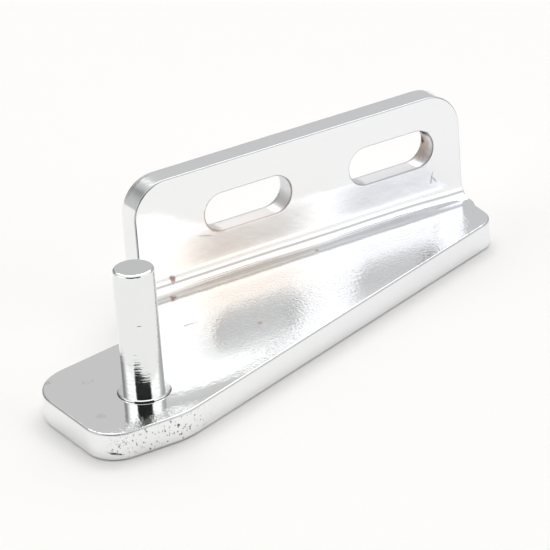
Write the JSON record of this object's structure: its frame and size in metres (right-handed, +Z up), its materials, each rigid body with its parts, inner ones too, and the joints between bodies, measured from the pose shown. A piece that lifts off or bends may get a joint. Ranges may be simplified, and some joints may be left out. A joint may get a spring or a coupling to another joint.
{
  "type": "pivot bracket",
  "caption": "Folded and plated steel bracket: a slotted mounting flange stands along the back of a tapered foot, which carries a round pivot pin near its free end.",
  "frame": {"origin": "on the pivot pin's axis, level with the top of its shoulder ring, where a bush sits", "axes": "+X along the flange away from the pin, +Y from the foot's front edge to the flange, +Z up along the pin"},
  "size_m": [0.0985, 0.0473, 0.0276],
  "materials": {
    "plated_plate": "bright plating over punched steel, slightly rippled, stained in places",
    "plated_pin": "bright plating over turned steel, lightly pitted"
  },
  "bodies": {
    "root": {"bracket_plate": "plated_plate", "pivot_pin": "plated_pin"}
  },
  "joints": []
}
